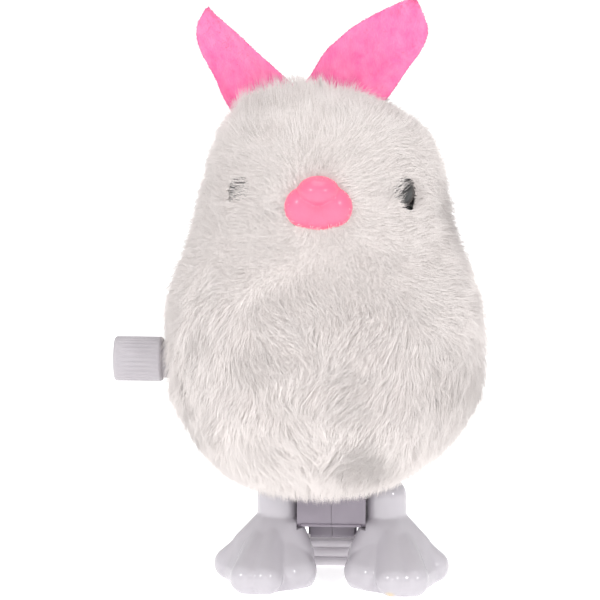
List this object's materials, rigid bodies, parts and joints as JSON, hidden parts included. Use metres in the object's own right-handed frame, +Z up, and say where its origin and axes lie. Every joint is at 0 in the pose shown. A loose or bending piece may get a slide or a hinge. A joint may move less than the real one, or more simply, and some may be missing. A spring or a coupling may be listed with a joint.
{
  "type": "clockwork hopping plush rabbit",
  "caption": "Wind-up plush rabbit with pink felt ears and nose, ribbed winding knob at the side, spring gearbox and hopping plastic feet.",
  "frame": {"origin": "on the floor, at the middle of the underside of the ribbed bar that joins the two feet", "axes": "+Z up; the rabbit faces -Y; +X points away from the winding knob"},
  "size_m": [0.0626, 0.0502, 0.1002],
  "materials": {
    "white_plush": "short cut pile",
    "pink_felt": "pressed felt",
    "pink_gloss": "glossy moulded",
    "black_gloss": "polished",
    "shell_plastic": "moulded",
    "case_plastic": "moulded satin",
    "foot_plastic": "semi-gloss moulded",
    "knob_plastic": "ribbed satin",
    "gear_nylon": "natural nylon",
    "axle_steel": "drawn steel",
    "spring_steel": "blued ribbon",
    "screw_steel": "plated"
  },
  "bodies": {
    "body": {"plush_cover": "white_plush", "ear_left": "pink_felt", "ear_right": "pink_felt", "nose": "pink_gloss", "eye_left": "black_gloss", "eye_right": "black_gloss", "body_shell_front": "shell_plastic", "body_shell_back": "shell_plastic", "gearbox_left": "case_plastic", "gearbox_right": "case_plastic", "gearbox_screw_1": "screw_steel", "gearbox_screw_2": "screw_steel", "gearbox_screw_3": "screw_steel", "gearbox_screw_4": "screw_steel", "mainspring": "spring_steel"},
    "winder": {"winding_knob": "knob_plastic", "winding_arbor": "axle_steel", "main_gear": "gear_nylon"},
    "second_wheel": {"second_axle": "axle_steel", "second_gear": "gear_nylon"},
    "crank": {"crank_axle": "axle_steel", "crank_gear": "gear_nylon", "crank_disc": "gear_nylon"},
    "feet": {"foot_left": "foot_plastic", "foot_right": "foot_plastic", "foot_bridge": "foot_plastic", "drive_fork": "gear_nylon", "pivot_shaft": "axle_steel"}
  },
  "joints": [
    {"name": "winding", "type": "hinge", "parent": "body", "child": "winder", "pos_m": [0, -0.0086, 0.0388], "axis": [1, 0, 0], "range_deg": [0, 1710]},
    {"name": "second_wheel_spin", "type": "hinge", "parent": "body", "child": "second_wheel", "pos_m": [0, -0.00376, 0.0296], "axis": [1, 0, 0], "range_deg": [-6156, 0]},
    {"name": "crank_spin", "type": "hinge", "parent": "body", "child": "crank", "pos_m": [0, -0.008, 0.0216], "axis": [1, 0, 0], "range_deg": [0, 18468]},
    {"name": "feet_hop", "type": "hinge", "parent": "body", "child": "feet", "pos_m": [0, -0.0066, 0.0145], "axis": [1, 0, 0], "range_deg": [0, 18]}
  ],
  "couplings": [
    {"joint": "second_wheel_spin", "follows": "winding", "ratio": -3.6},
    {"joint": "crank_spin", "follows": "winding", "ratio": 10.8}
  ]
}
